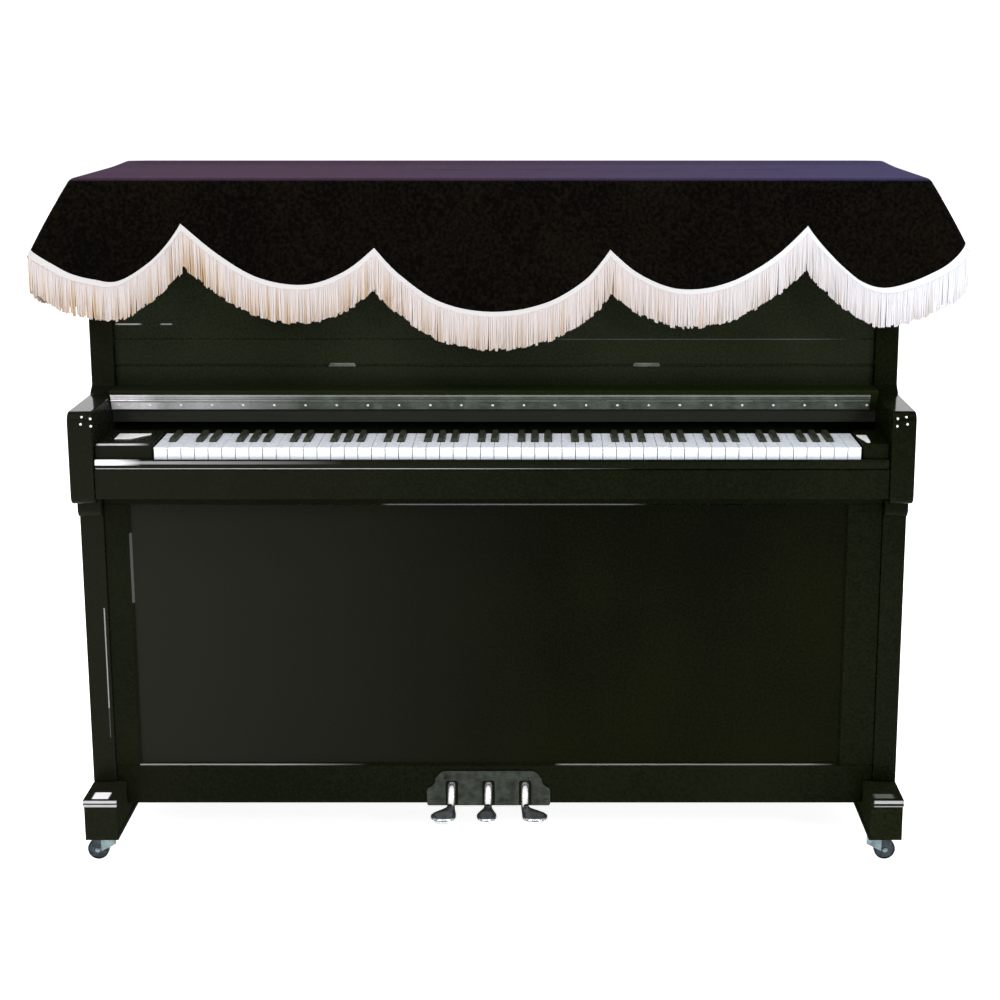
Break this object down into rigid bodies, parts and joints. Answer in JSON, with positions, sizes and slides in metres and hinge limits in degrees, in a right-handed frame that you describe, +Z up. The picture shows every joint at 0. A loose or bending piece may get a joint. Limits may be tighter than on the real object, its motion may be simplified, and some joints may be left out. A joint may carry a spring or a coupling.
{
  "type": "fringed piano top cover on a plain upright piano",
  "caption": "Dark velvet cover with a scalloped hem and cream fringe, draped over the top of a plain upright piano.",
  "frame": {"origin": "middle of the bounding box in plan, on the floor that the casters stand on", "axes": "+X to the right of a player facing the keyboard and along the cover's length, -Y towards the player, +Z up"},
  "size_m": [1.6514, 0.601, 1.228],
  "materials": {
    "velvet": "short-pile velvet, near-black aubergine with a purple sheen at a low angle",
    "fringe_cotton": "matt cream twisted cotton",
    "black_lacquer": "polished black lacquer over wood",
    "white_key": "semi-gloss white",
    "black_key": "satin black",
    "pedal_metal": "polished",
    "dark_metal": "satin dark metal"
  },
  "bodies": {
    "root": {"back_board": "black_lacquer", "black_keys": "black_key", "bottom_board": "black_lacquer", "bottom_rail": "black_lacquer", "caster_fork_left_back": "dark_metal", "caster_fork_left_front": "dark_metal", "caster_fork_right_back": "dark_metal", "caster_fork_right_front": "dark_metal", "caster_wheel_left_back": "dark_metal", "caster_wheel_left_front": "dark_metal", "caster_wheel_right_back": "dark_metal", "caster_wheel_right_front": "dark_metal", "cover_cloth": "velvet", "fallboard": "black_lacquer", "fringe_front_1": "fringe_cotton", "fringe_front_2": "fringe_cotton", "fringe_front_3": "fringe_cotton", "fringe_front_4": "fringe_cotton", "fringe_front_5": "fringe_cotton", "fringe_left": "fringe_cotton", "fringe_right": "fringe_cotton", "key_bed": "black_lacquer", "key_block_left": "black_lacquer", "key_block_right": "black_lacquer", "key_slip": "black_lacquer", "lid": "black_lacquer", "lower_panel": "black_lacquer", "pedal_left": "pedal_metal", "pedal_middle": "pedal_metal", "pedal_plate": "dark_metal", "pedal_right": "pedal_metal", "side_left": "black_lacquer", "side_right": "black_lacquer", "toe_left": "black_lacquer", "toe_right": "black_lacquer", "upper_panel": "black_lacquer", "white_keys": "white_key"}
  },
  "joints": []
}
